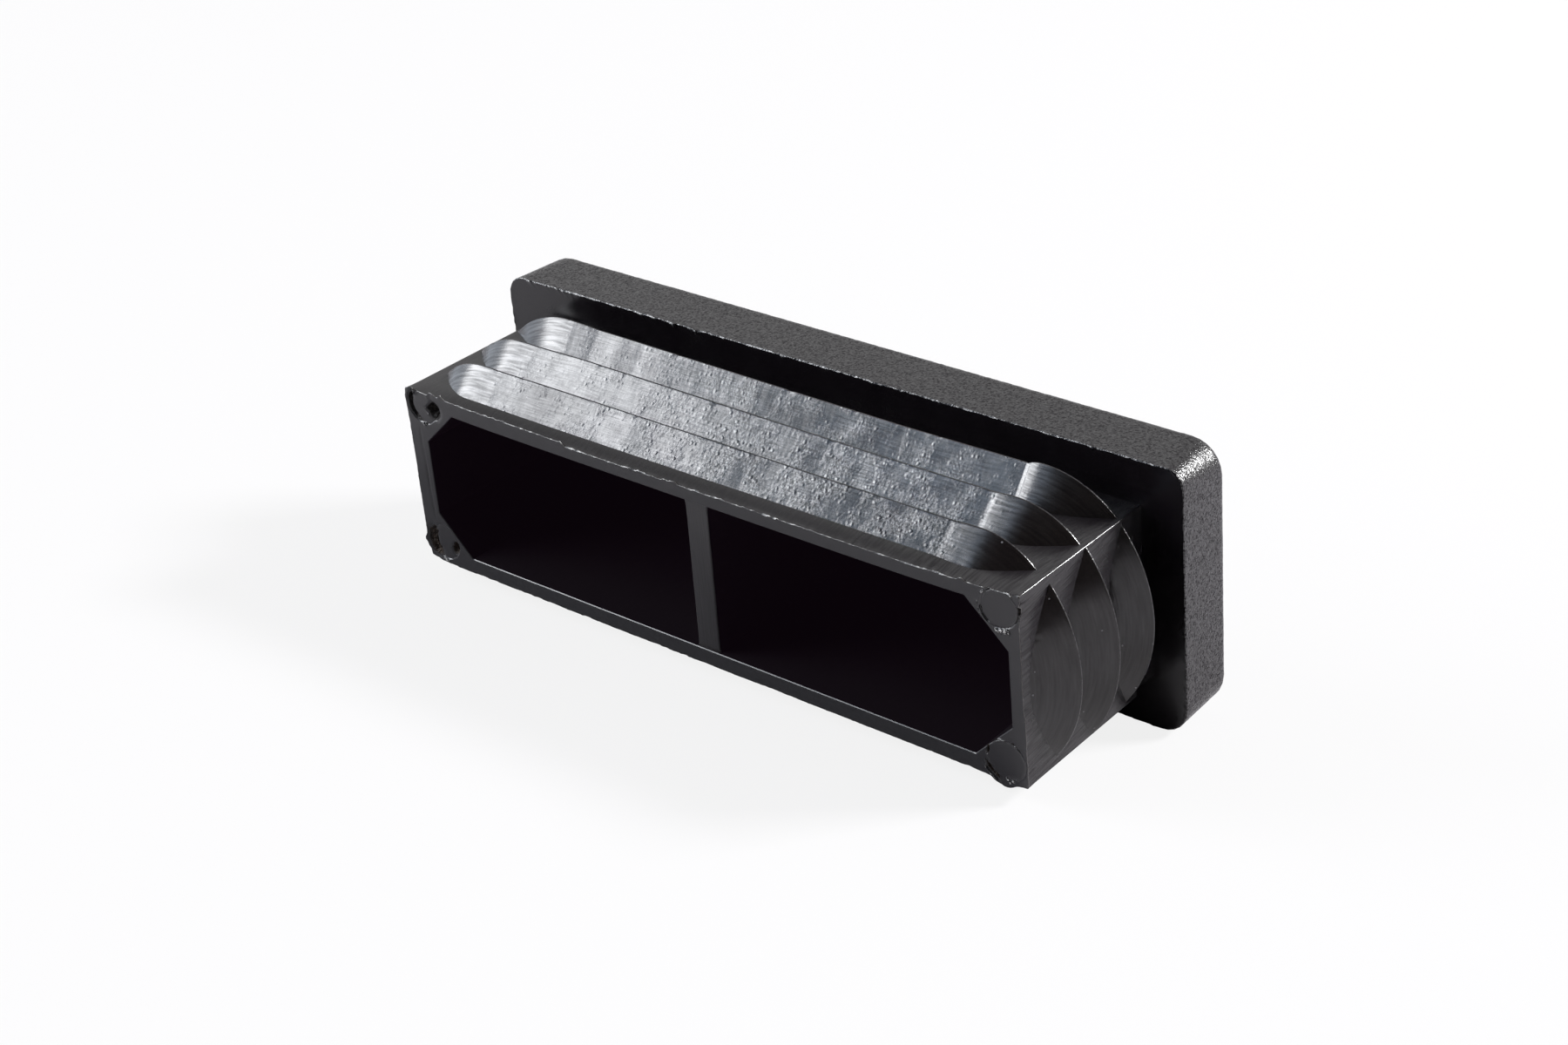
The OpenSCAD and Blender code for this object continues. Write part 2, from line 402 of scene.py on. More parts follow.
def fin_rows(number, past, axis, height):
    """Depth and height over the wall of one fin, for each point of the outline. The crest runs
    straight, then in an arc about an axis under the wall, so the slope is a plane and then a
    cone: height = sqrt(radius^2 - past^2) - axis, where past is the distance past the arc's
    axis and the radius falls by FIN_RISE as the depth falls by 1. The slope's rows start where
    the cone meets the wall, at radius sqrt(axis^2 + past^2), and beyond the run-out all rows
    close up."""
    crest, top = FIN_CREST[number], axis + height
    foot = np.minimum(np.hypot(axis, past), top)
    stop = top - SLOPE_STOP
    share = np.linspace(0, 1, SLOPE_ROWS)[:, None]
    slope_radius = np.where(foot > stop, foot, foot + (stop - foot) * share)
    slope_depth = crest - (top - slope_radius) / FIN_RISE[number]
    crest_past, crest_under = np.array(CREST_ROWS).T[..., None]
    crest_depth = crest + crest_past + 0 * past
    crest_radius = np.maximum(top - crest_under, foot)
    back_radius = foot + (crest_radius[-1] - foot) * np.array(BACK_ROWS)[:, None]
    back_depth = crest + CREST_T + 0 * back_radius
    radius = np.concatenate([slope_radius, crest_radius, back_radius])
    depth = np.concatenate([slope_depth, crest_depth, back_depth])
    high = np.sqrt(np.maximum(radius**2 - past**2, axis**2)) - axis
    return depth, high


def hollow_corner(steps):
    """Chamfered corner of the hollow in the first quarter, from the long wall to the short one."""
    half_w, half_h = INSERT_W / 2 - SIDE_WALL, INSERT_H / 2 - LONG_WALL
    return straight_run((half_w - HOLLOW_CHAMFER, half_h), (half_w, half_h - HOLLOW_CHAMFER), steps)


def insert_outlines():
    """Outlines of the insert with points that answer to one another: the rim's outer edge, the
    walls, the relief, the edge of the bevel and the hollow. Gives each one's corners, by the
    signs of X and Z, and the closed outlines."""
    long_steps, short_steps, corner_steps = INSERT_STEPS
    half_w, half_h = INSERT_W / 2, INSERT_H / 2
    bevel_w, bevel_h = half_w - SIDE_WALL + RIM_BEVEL, half_h - LONG_WALL + RIM_BEVEL
    chamfer = HOLLOW_CHAMFER + RIM_BEVEL * (2 - math.sqrt(2))
    x_cut, z_cut = bevel_w - chamfer, bevel_h - chamfer
    bevel = straight_run((x_cut, bevel_h), (bevel_w, z_cut), corner_steps)
    hollow = hollow_corner(corner_steps)

    def outer(inset, radius):
        return quarter(half_w - inset, half_h - inset, radius, x_cut, z_cut, corner_steps)

    outside = {
        "rim": outer(RIM_EDGE, INSERT_EDGE_R - RIM_EDGE),
        "wall": outer(0.0, INSERT_EDGE_R),
        "relief": outer(RELIEF_D, INSERT_EDGE_R),
    }
    corners = {}
    for signs, (first, last) in HOLLOW_SHIFT.items():
        shift = straight_run(first, last, corner_steps) * signs
        corners[signs] = dict(outside, bevel=bevel + shift, hollow=hollow + shift)
    rings = {
        name: ring({signs: corner[name] for signs, corner in corners.items()}, long_steps, short_steps)
        for name in corners[1, 1]
    }
    return corners, rings


def wall_coordinates(wall):
    """For each point of the walls' outline: the outward direction, whether it is on a long wall,
    and the place along its wall. Corner points lie past the end of their wall."""
    flat = np.array([INSERT_W / 2, INSERT_H / 2]) - INSERT_EDGE_R
    normal = (wall - np.clip(wall, -flat, flat)) / INSERT_EDGE_R
    on_long, on_short = (np.abs(wall) <= flat + 1e-6).T
    along = np.where(on_long, wall[:, 0], np.where(on_short, wall[:, 1], INSERT_W))
    return normal, on_long, along


def wear_fin(high, past, wall, number):
    """Changes a fin's heights by its small faults: grains at the foot of the turned slopes, and
    nicks in the crest. Both are where noise passes a limit."""
    x, z = wall[:, 0] + 7.0 * number, wall[:, 1]
    turned = ramp(past, 1) * ramp(high[SLOPE_ROWS - 1] - 0.05, 0.1)
    high[1] += 0.05 * turned * ramp(lumps_on(x, z, 0.25, 81) - 0.4, 0.4)
    nick = 0.035 * ramp(lumps_on(x, z, 0.26, 82) - 0.8, 0.1)
    crest = slice(SLOPE_ROWS - 1, None)
    high[crest] = np.maximum(high[crest] - nick, 0)


def outline_fin(wall, number):
    """Rows of one fin all round the outline: depth and height over the walls."""
    normal, on_long, along = wall_coordinates(wall)
    height, axis, straight = (
        np.where(on_long, LONG_FINS[key][number], SHORT_FINS[key][number])
        for key in ("height", "axis", "straight")
    )
    past = np.maximum(np.abs(along) - straight, 0)
    height = height - np.where(on_long, crest_dip(along, number), 0)
    depth, high = fin_rows(number, past, axis, height)
    slope = slice(1, SLOPE_ROWS - 1)
    skin = np.where(on_long, slope_skin(wall, depth[slope], number), 0)
    high[slope] = np.maximum(high[slope] + skin * np.minimum(high[slope] / 0.3, 1), 0)
    wear_fin(high, past, wall, number)
    return depth, high


def rim_flash(x, z):
    """How far the flash stands out past the rim's outer edge. The top edge has a flap along its
    left part that ends in a step, spikes, then beads, and a short fringe runs all round: each
    is a window or hump along X times noise."""
    fine, coarse = flecks(x, z, 0.24, 61, 0.1), flecks(x, z, 0.75, 62, 0.5, 0.9)
    flap = 0.3 * window(x, -24.8, -11.2, 0.25) * (0.85 + 0.12 * fine + 0.15 * lumps_on(x, z, 2.1, 63))
    spikes = sum(height * hump(x - middle, width) for height, middle, width in SPIKES)
    spikes = spikes + 0.12 * window(x, -27, -24.4, 0.4)
    beads = sum(height * window(x, *run) for height, *run in BEADS)
    on_top = flap + spikes + beads * coarse * (0.3 + 1.1 * fine)
    return 0.012 + 0.03 * fine + ramp(z - 6, 1) * on_top


def edge_rows(rings, normal):
    """Depths and places of the rows round the rim's outer edge: the edge of the rim's face, the
    flash with its narrow uneven facet, and the way back to the wall."""
    wall = rings["wall"]
    x, z = wall[:, 0], wall[:, 1]
    top, reach = rim_depth(rings["rim"]), rim_flash(x, z)
    broad = np.maximum(flecks(x, z, 1.9, 65, 0.55, 1.1), 0.12)
    facet = 0.012 + 0.06 * flecks(x, z, 0.32, 64, 0.3, 1.3) * broad
    depth = [top, top, top + facet, top + facet + 0.05, top + 0.16]
    places = [rings["rim"]]
    for out in (reach - facet, reach, reach - 0.015, 0 * reach):
        places.append(wall + normal * out[:, None])
    return np.array(depth), np.array(places)


def foot_rows(rings, before):
    """Depths and places of the rows from the last fin to the seat, with the relief."""
    wall, relief = rings["wall"], rings["relief"]
    foot = INSERT_L - RELIEF_L
    depth = [before + (foot - before) * share for share in (0.35, 0.7, 1.0)]
    depth += [at + 0 * before for at in (foot, foot, INSERT_L - 0.5, INSERT_L)]
    places = [wall] * 3 + [wall + (relief - wall) * 0.15] + [relief] * 3
    return np.array(depth), np.array(places)


def outer_wall(rings):
    """Grid of the insert's outside, from the rim's edge to the seat: at each point of the
    outline one profile of rim edge with its flash, wall, three fins and relief, set out along
    the wall's outward direction."""
    wall = rings["wall"]
    normal = wall_coordinates(wall)[0]
    rows = [edge_rows(rings, normal)]
    finish = [RIM, FLASH, FLASH, SATIN]
    before = rows[0][0][-1]
    gap = np.linspace(0, 1, 6)[1:-1, None]
    for number in range(len(FIN_CREST)):
        depth, high = outline_fin(wall, number)
        between = before + (depth[0] - before) * gap
        rows.append((between, np.broadcast_to(wall, (len(gap),) + wall.shape)))
        rows.append((depth, wall + normal * high[..., None]))
        finish += [SATIN] * (len(gap) + 1) + [SLOPE] * SLOPE_ROWS
        finish += [SATIN] * (len(depth) - SLOPE_ROWS - 1)
        before = depth[-1]
    rows.append(foot_rows(rings, before))
    finish += [SATIN] * len(rows[-1][0])
    depth = np.concatenate([row[0] for row in rows])
    flat = np.concatenate([row[1] for row in rows])
    return place(flat, depth), finish


def rim_strips(rings):
    """Grids of the rim's four straights, ruled from the outer edge to the bevel."""
    long_steps, short_steps, corner_steps = INSERT_STEPS
    share = rim_shares()[:, None, None]
    grids, start = [], 0
    for steps in (short_steps, long_steps) * 2:
        start += corner_steps
        index = np.arange(start, start + steps + 1) % len(rings["rim"])
        outer, inner = rings["rim"][index], rings["bevel"][index]
        grids.append(on_rim(outer + (inner - outer) * share))
        start += steps
    return grids


def rim_shares():
    """Places across the rim, closer together at its two edges."""
    even = np.linspace(0, 1, 19)
    return even - 0.08 * np.sin(2 * math.pi * even)


def rim_corner(corner, signs, mark):
    """Polar grid of one corner of the rim: rays from the middle of the mark to every point of
    the corner's outline, with rings at fixed radii round the mark and then on to the outline."""
    outer, inner = corner["rim"] * signs, corner["bevel"] * signs
    share = rim_shares()[1:-1, None]
    short_cut = outer[-1] + (inner[-1] - outer[-1]) * share
    long_cut = outer[0] + (inner[0] - outer[0]) * share[::-1]
    edge = np.concatenate([outer, short_cut, inner[::-1], long_cut])
    middle = np.array(mark["at"])
    reach = np.linalg.norm(edge - middle, axis=1)
    rings_at = np.concatenate([DISC_RINGS, mark["r"] + np.array(GAP_RINGS)])
    near = np.minimum(rings_at[:, None], reach)
    on = np.linspace(0, 1, 7)[1:, None]
    radius = np.concatenate([near, near[-1] + (reach - near[-1]) * on])
    flat = middle + (edge - middle) / reach[:, None] * radius[..., None]
    flat[-1] = edge
    return on_rim(flat)


def hollow_wall(rings):
    """Grid of the hollow: the bevel of the rim, and the walls down to the seat's plane."""
    top = rim_depth(rings["bevel"])
    depth = [top, top + RIM_BEVEL] + [at + 0 * top for at in (0.6, 1.4, 4.0, INSERT_L)]
    flat = np.array([rings["bevel"]] + [rings["hollow"]] * (len(depth) - 1))
    return place(flat, np.array(depth))


def make_insert(finishes):
    """The insert as one closed shell: outside with fins, rim with marks, hollow, and the foot
    that stands on the seat."""
    corners, rings = insert_outlines()
    outside, finish = outer_wall(rings)
    grids = [(outside, True, finish)]
    grids += [(strip, False, RIM) for strip in rim_strips(rings)]
    for signs, mark in zip(((1, 1), (1, -1), (-1, 1), (-1, -1)), MARKS):
        grids.append((rim_corner(corners[signs], signs, mark), True, RIM))
    hollow = hollow_wall(rings)
    grids.append((hollow, True, [RIM] + [HOLLOW] * (len(hollow) - 2)))
    grids.append((np.stack([outside[-1], hollow[-1]]), True, HOLLOW))
    insert = make_piece("cap_insert", grids, finishes)
    write_tool_paths(insert)
    return insert


def write_tool_paths(insert):
    """Stores on the insert's points how the mould's cutter ran: the distance from the axis that
    it turned about, in millimetres, and a share that is 0 on the straight slopes and 1 on the
    turned ones. The distance is sqrt(past^2 + (height + axis)^2)."""
    mesh = insert.data
    at = np.empty(len(mesh.vertices) * 3, np.float32)
    mesh.vertices.foreach_get("co", at)
    x, y, z = at.reshape(-1, 3).T / MM
    over_long, over_short = np.abs(z) - INSERT_H / 2, np.abs(x) - INSERT_W / 2
    on_long = over_long >= over_short
    number = np.clip(np.round((y + INSERT_L - 2.0) / FIN_PITCH), 0, 2).astype(int)
    straight, long_axis, short_axis, start = (
        np.array(values)[number]
        for values in (LONG_FINS["straight"], LONG_FINS["axis"], SHORT_FINS["axis"], ARC_START)
    )
    off = np.abs(x) - straight
    past = np.where(on_long, np.maximum(off, 0), np.abs(z))
    high = np.where(on_long, over_long + long_axis, over_short + short_axis)
    turned = np.where(on_long, ramp(off + start, np.where(x < 0, LEFT_START, 1.5)), 1)
    for name, values in (("tool_radius", np.hypot(past, high)), ("turned", turned)):
        made = mesh.attributes.new(name, "FLOAT", "POINT")
        made.data.foreach_set("value", values.astype(np.float32))


def head_outline(face, inset):
    """Outline of the head at the seat, face 0, or at the show face, 1, moved inwards. Each
    corner has its own radius."""
    long_steps, short_steps, corner_steps = HEAD_STEPS
    half_w, half_h = HEAD_W / 2 - HEAD_PROUD - inset, HEAD_H / 2 - HEAD_PROUD - inset
    x_cut, z_cut = HEAD_W / 2 - HEAD_CUT, HEAD_H / 2 - HEAD_CUT
    quarters = {}
    for signs, radii in HEAD_CORNER.items():
        radius = max(radii[face] - inset, 0.3)
        quarters[signs] = quarter(half_w, half_h, radius, x_cut, z_cut, corner_steps)
    return ring(quarters, long_steps, short_steps)


def midline(outline):
    """The outline pressed flat onto Z = 0, and its ends pulled in."""
    x = np.clip(outline[:, 0], -MIDLINE_HALF, MIDLINE_HALF)
    return np.stack([x, 0 * outline[:, 1]], axis=1)


def head_flash(edge):
    """Flash on the back edge of the head, where the mould parts: how far it stands up over the
    seat, and the width of the bright facet on it. Both follow noise along the edge, and the
    left half of the top edge has the most."""
    x, z = edge[:, 0], edge[:, 1]
    amount = 0.05 + ramp(z - 9, 1) * (0.08 + 0.1 * window(x, -29, -4, 2))
    flash = amount * flecks(x, z, 0.26, 71, 0.15) * flecks(x, z, 1.1, 72, 0.45, 0.9)
    return flash, 0.035 + 0.045 * flecks(x, z, 0.4, 73, 0.5)


def back_loops(pocket, seat, seat_edge):
    """Loops of the pocket and the seat out to the head's back edge, each one an outline and its
    Y. The last three are the flash, with its facet."""
    loops = [(midline(pocket), POCKET_Y), (pocket * 0.9, POCKET_Y), (pocket, POCKET_Y), (pocket, 0.0)]
    loops += [(pocket + (seat - pocket) * share, 0.0) for share in (0.3, 0.6, 0.85, 0.97)]
    flash, facet = head_flash(seat_edge)
    toward = (seat_edge - seat) / np.linalg.norm(seat_edge - seat, axis=1, keepdims=True)
    loops.append((seat_edge - toward * (facet + 0.03)[:, None], -0.6 * flash))
    loops.append((seat_edge - toward * facet[:, None], -flash))
    loops.append((seat_edge, facet - flash))
    return loops


def side_loops(seat_edge, show):
    """Loops of the sides, which change from the outline at the seat to that at the show face,
    and of the edge, a quarter turn with the radius HEAD_EDGE_R."""
    straight = HEAD_T - HEAD_EDGE_R - HEAD_PROUD
    heights = np.linspace(0.16, straight, 28)
    loops = [(seat_edge + (show - seat_edge) * (y / HEAD_T), y) for y in heights]
    off = loops[-1][0] - show
    for turn in np.linspace(0, math.pi / 2, 10)[1:]:
        inset = HEAD_EDGE_R * (1 - math.cos(turn))
        y = straight + HEAD_EDGE_R * math.sin(turn)
        loops.append((head_outline(1, inset) + off * math.cos(turn), y))
    return loops


def head_rows():
    """Grid of the head as loops from the middle of the pocket, over the seat, the sides and
    the rounded edge, to the middle of the show face."""
    long_steps, short_steps, corner_steps = HEAD_STEPS
    corner = hollow_corner(corner_steps)
    pocket = ring({signs: corner for signs in HEAD_CORNER}, long_steps, short_steps)
    seat_edge = head_outline(0, 0.0)
    loops = back_loops(pocket, head_outline(0, 0.1), seat_edge)
    finish = [POCKET] * 3 + [SEAT] * (len(loops) - 5)
    loops += side_loops(seat_edge, head_outline(1, 0.0))
    edge, show_y = loops[-1]
    middle = midline(edge)
    loops += [(edge + (middle - edge) * share, show_y) for share in np.linspace(0, 1, 13)[1:]]
    finish += [GRAIN] * (len(loops) - 1 - len(finish))
    flat = np.array([loop for loop, y in loops])
    y = np.array([y + 0 * loop[:, 0] for loop, y in loops])
    return np.stack([flat[..., 0], y, flat[..., 1]], axis=-1), finish


def make_head(finishes):
    """The head as one closed shell with a pocket. The mould's grain pushes the points of its
    outside away from the nearest place of a core inside the head, by noise of two sizes."""
    points, finish = head_rows()
    out = points - np.clip(points, *HEAD_CORE)
    size = np.linalg.norm(out, axis=-1, keepdims=True)
    out = out / np.maximum(size, 1e-6)
    grained = ramp(points[..., 1:2] - 0.05, 0.1) * (size > 0.2)
    grain = lumps(points, 0.33, 11) + 0.6 * lumps(points, 0.19, 12)
    points = points + out * grained * GRAIN_DEPTH * grain[..., None]
    return make_piece("cap_head", [(points, True, finish)], finishes)


def web_section():
    """Section of the web across its thickness, as X and the depth from its free edge: an open
    box whose two corners at that edge are quarter turns."""
    half, deep = WEB_T / 2, INSERT_L + POCKET_Y - RIM_SINK - WEB_DROP
    turn = np.linspace(0, math.pi / 2, 6)
    past, under = WEB_EDGE_R * (1 - np.cos(turn)), WEB_EDGE_R * (1 - np.sin(turn))
    left = np.stack([past - half, under], axis=1)
    right = np.stack([half - under, past], axis=1)
    return np.concatenate([[[0, deep], [-half, deep]], left, right, [[half, deep]]])


def make_web(finishes):
    """The web as a closed shell: its section carried along Z from wall to wall, a little wider
    where it meets them, and leaning to the left towards the bottom."""
    section = web_section()
    wall_z = INSERT_H / 2 - LONG_WALL
    z = np.linspace(-1, 1, 41)[:, None] * (wall_z + WEB_OVERLAP)
    wide = section[:, 0] * (1 + 0.072 * np.exp((np.abs(z) - wall_z) / 0.25))
    lean = 0.1 * (1 - z / (INSERT_H / 2))
    x = WEB_X - lean + wide + 0.02 * lumps_on(z, section[:, 0], 2.0, 21)
    flat = np.stack(np.broadcast_arrays(x, z), axis=-1)
    grid = place(flat, RIM_SINK + WEB_DROP + section[:, 1])
    around = np.concatenate([grid, grid[:, :1]], axis=1).transpose(1, 0, 2)
    finish = [WEB_SIDE] * 2 + [WEB_EDGE] * (len(section) - 4) + [WEB_SIDE] * 2
    grids = [(around, False, finish)]
    for end in (grid[0], grid[-1]):
        grids.append((np.stack([end, np.broadcast_to(end.mean(0), end.shape)]), True, WEB_SIDE))
    return make_piece("cap_web", grids, finishes)


class Nodes:
    """The nodes of a material or a world. A value may be a number, a colour or the output of
    another node, and the methods for a kind of node give back its output."""

    def __init__(self, owner):
        owner.use_nodes = True
        self.owner = owner
        self.tree = owner.node_tree

    def feed(self, socket, value):
        """Links a socket to an output, or gives it a value. Colours are opaque."""
        if isinstance(value, bpy.types.NodeSocket):
            self.tree.links.new(value, socket)
        elif socket.type == "RGBA":
            socket.default_value = (*value, 1)
        else:
            socket.default_value = value

    def add(self, kind, *values, **named):
        """New node. Values go to its first sockets in order, and named ones to the socket of
        that name or, where there is none, to the property."""
        made = self.tree.nodes.new(kind)
        for socket, value in zip(made.inputs, values):
            self.feed(socket, value)
        for name, value in named.items():
            socket = made.inputs.get(name.title())
            if socket is None:
                setattr(made, name, value)
            else:
                self.feed(socket, value)
        return made

    def coords(self, scale=(1, 1, 1)):
        """The piece's own coordinates in metres, stretched by a scale for each axis."""
        where = self.add("ShaderNodeTexCoord").outputs["Object"]
        if scale == (1, 1, 1):
            return where
        return self.add("ShaderNodeMapping", where, scale=scale).outputs[0]

    def attribute(self, name):
        """A value stored on the piece's points."""
        return self.add("ShaderNodeAttribute", attribute_name=name).outputs["Fac"]

    def noise(self, size_mm, detail=2.0, rough=0.5, stretch=(1, 1, 1), where=None):
        """Noise with lumps of about the given size, at the piece's own coordinates or others."""
        where = where or self.coords(stretch)
        scale = 1 / (size_mm * MM)
        made = self.add("ShaderNodeTexNoise", vector=where, scale=scale, detail=detail, roughness=rough)
        return made.outputs["Fac"]

    def cells(self, size_mm):
        """Distance from the middle of a cell, for cells of about the given size."""
        made = self.add("ShaderNodeTexVoronoi", vector=self.coords(), scale=1 / (size_mm * MM))
        return made.outputs["Distance"]

    def spread(self, value, low, high, to_low, to_high, how="LINEAR"):
        """The value moved from one range to another, and held in it."""
        made = self.add("ShaderNodeMapRange", value, low, high, to_low, to_high, interpolation_type=how)
        return made.outputs[0]

    def along(self, axis, start, stop, to_start, to_stop):
        """Value that changes between two places on an axis of the piece, in millimetres."""
        at = self.add("ShaderNodeSeparateXYZ", self.coords()).outputs[axis]
        return self.spread(at, start * MM, stop * MM, to_start, to_stop)

    def times(self, product, *others):
        """Product of two or more values."""
        for other in others:
            product = self.add("ShaderNodeMath", product, other, operation="MULTIPLY").outputs[0]
        return product

    def mix(self, share, first, second):
        """Number that goes from the first to the second with the share."""
        made = self.add("ShaderNodeMix", share)
        self.feed(made.inputs[2], first)
        self.feed(made.inputs[3], second)
        return made.outputs[0]

    def mix_colours(self, share, first, second):
        """Colour that goes from the first to the second with the share."""
        made = self.add("ShaderNodeMix", share, data_type="RGBA")
        self.feed(made.inputs[6], first)
        self.feed(made.inputs[7], second)
        return made.outputs[2]

    def end(self, kind, lit, shown, share):
        """Output of the given kind. The camera sees the second shader by the given share, and
        all other rays meet the first one."""
        path = self.add("ShaderNodeLightPath")
        by_camera = self.times(path.outputs["Is Camera Ray"], share)
        mixed = self.add("ShaderNodeMixShader", by_camera, lit.outputs[0], shown.outputs[0])
        self.add(kind, mixed.outputs[0])


class Finish(Nodes):
    """A finish of the plastic: a material with one Principled shader."""

    def __init__(self, name, colour, roughness=0.3):
        super().__init__(bpy.data.materials.new(name))
        self.set("Base Color", colour)
        self.set("Roughness", roughness)
        self.set("IOR", PLASTIC_IOR)

    def set(self, socket, value):
        """Gives a value to a socket of the shader."""
        self.feed(self.tree.nodes["Principled BSDF"].inputs[socket], value)

    def roughen(self, *layers):
        """Bumps over one another, each one a height and its depth in millimetres."""
        normal = None
        for height, depth_mm in layers:
            made = self.add("ShaderNodeBump", strength=1.0, distance=depth_mm * MM, height=height)
            if normal is not None:
                self.feed(made.inputs["Normal"], normal)
            normal = made.outputs[0]
        self.set("Normal", normal)


PLASTIC = (0.0046, 0.0036, 0.0046)
PLASTIC_IOR = 1.55
TURNED_TINT = (0.0085, 0.0058, 0.0046)
WEB_PLASTIC = (0.0085, 0.0068, 0.0072)
THIN_PLASTIC = (0.02, 0.018, 0.017)
DRAWN_PLASTIC = (0.3, 0.3, 0.29)
TORN_BROWN = (0.023, 0.0155, 0.011)
TORN_DARK = (0.01, 0.008, 0.007)
# Pale specks on the rim's raised crust: a painted highlight for glints of the light
CRUST_PAINTED_GLINT = (0.65, 0.64, 0.62)
DUST = (0.16, 0.16, 0.17)
# Hollow: a base colour darker than the outside's is painted shade of the recess, and a weak emission is
# a painted glow
HOLLOW_SHADE_BLACK = (0.0027, 0.0021, 0.0026)
HOLLOW_PAINTED_GLOW = (0.0026, 0.0012, 0.0024)


def satin_finish():
    """Walls between the fins: satin, with fine slanting lines from the mould's polishing, which
    are stronger to the right, and a slow change of gloss."""
    skin = Finish("satin_wall", PLASTIC)
    slanted = skin.add("ShaderNodeMapping", skin.coords(), vector_type="TEXTURE")
    skin.feed(slanted.inputs["Rotation"], (0.12, 0, -0.05))
    skin.feed(slanted.inputs["Scale"], (1, 20, 1))
    lines = skin.noise(0.15, 2, 0.6, where=slanted.outputs[0])
    lines = skin.mix(skin.along("X", 8, 24, 0.3, 1), 0.5, lines)
    skin.set("Roughness", skin.spread(skin.noise(2.2, 3), 0.3, 0.7, 0.21, 0.3))
    skin.set("Specular IOR Level", skin.spread(lines, 0.36, 0.64, 0.3, 0.68))
    skin.roughen((lines, 0.018), (skin.noise(0.12, 3, 0.6), 0.006))
    return skin.owner


def struck_share(skin, plain):
    """How much the straight slopes are struck at a place: in patches, less towards the seat and
    to the left."""
    patches = skin.spread(skin.noise(2.2, 3, 0.65), 0.44, 0.58, 0.2, 1)
    to_seat, to_left = skin.along("Y", -12, -4, 1, 0.45), skin.along("X", -16, 0, 0.7, 1)
    return skin.times(plain, patches, to_seat, to_left)


def cutter_lines(skin):
    """Fine lines that the mould's cutter left along its arcs: noise on the distance from the
    cutter's axis, drawn out along the walls, and fainter on the short walls."""
    slow = skin.add("ShaderNodeSeparateXYZ", skin.coords((50, 50, 50))).outputs
    arc = skin.add("ShaderNodeCombineXYZ", skin.attribute("tool_radius"), slow["X"], slow["Z"])
    lines = skin.add("ShaderNodeTexNoise", vector=arc.outputs[0], scale=8.5, detail=2.0, roughness=0.6)
    x = skin.add("ShaderNodeSeparateXYZ", skin.coords()).outputs["X"]
    off_middle = skin.add("ShaderNodeMath", x, operation="ABSOLUTE").outputs[0]
    on_side = skin.spread(off_middle, 26.5 * MM, 27 * MM, 1, 0.3)
    return skin.mix(on_side, 0.5, lines.outputs["Fac"])


def straight_gloss(skin, struck):
    """Gloss of the straight slopes: fine scratches across, slow clouds, a smudge at the left end
    of the first crest, specks where they are struck, and more shine to the right near the seat."""
    scratched = skin.spread(skin.noise(0.09, 3, 0.6, (0.05, 1, 1)), 0.4, 0.7, 0.56, 0.36)
    spot = (-15.3 * MM, -11.8 * MM, 8.4 * MM)
    away = skin.add("ShaderNodeVectorMath", skin.coords(), spot, operation="DISTANCE")
    smudge = skin.spread(away.outputs["Value"], 0.8 * MM, 4.2 * MM, 0.66, 1)
    mottled = skin.spread(skin.noise(1.5, 4, 0.7), 0.38, 0.6, 0.84, 1.04)
    specked = skin.spread(skin.noise(0.2, 3, 0.7), 0.4, 0.6, 0.7, 1.24)
    specked = skin.mix(struck, 1.0, specked)
    further = skin.times(skin.along("X", 2, 14, 0, 1), skin.along("Y", -11, -7, 0, 1))
    shinier = skin.spread(further, 0, 1, 1, 1.3)
    return skin.times(scratched, smudge, mottled, specked, shinier)


def dusted(skin, colour):
    """A colour with a few grains of pale dust on it: the middles of coarse cells."""
    return skin.mix_colours(skin.spread(skin.cells(1.4), 0.03, 0.06, 1, 0), colour, DUST)


def slope_finish():
    """Slopes of the fins. The straight ones are struck and pitted in places, with faint upright
    bands, and the turned ones smooth, with the fine lines that the cutter left along its arcs."""
    skin = Finish("fin_slope", PLASTIC)
    turned = skin.attribute("turned")
    plain = skin.spread(turned, 0, 1, 1, 0)
    cut = skin.spread(turned, 0, 0.15, 0, 1)
    struck = struck_share(skin, plain)
    lines = cutter_lines(skin)
    cloudy = skin.spread(skin.noise(1.2, 3), 0.3, 0.7, 0.14, 0.21)
    dull = skin.mix(cut, skin.along("X", -21.5, -17.5, 0.12, 0), 0.05)
    skin.set("Roughness", skin.add("ShaderNodeMath", cloudy, dull, operation="ADD").outputs[0])
    turned_gloss = skin.spread(lines, 0.35, 0.65, 0.3, 0.66)
    skin.set("Specular IOR Level", skin.mix(cut, straight_gloss(skin, struck), turned_gloss))
    tinted = skin.mix_colours(skin.times(cut, lines), PLASTIC, TURNED_TINT)
    skin.set("Base Color", dusted(skin, tinted))
    beads = skin.spread(skin.cells(0.55), 0.1, 0.28, 1, 0)
    skin.roughen(
        (skin.times(skin.noise(0.7, 2, 0.5, (1, 0.04, 0.04)), plain), 0.008),
        (skin.times(skin.cells(0.24), struck), 0.011),
        (skin.times(beads, struck), 0.02),
        (skin.times(skin.noise(0.12, 4, 0.75), struck), 0.012),
        (skin.times(lines, cut), 0.016),
    )
    return skin.owner


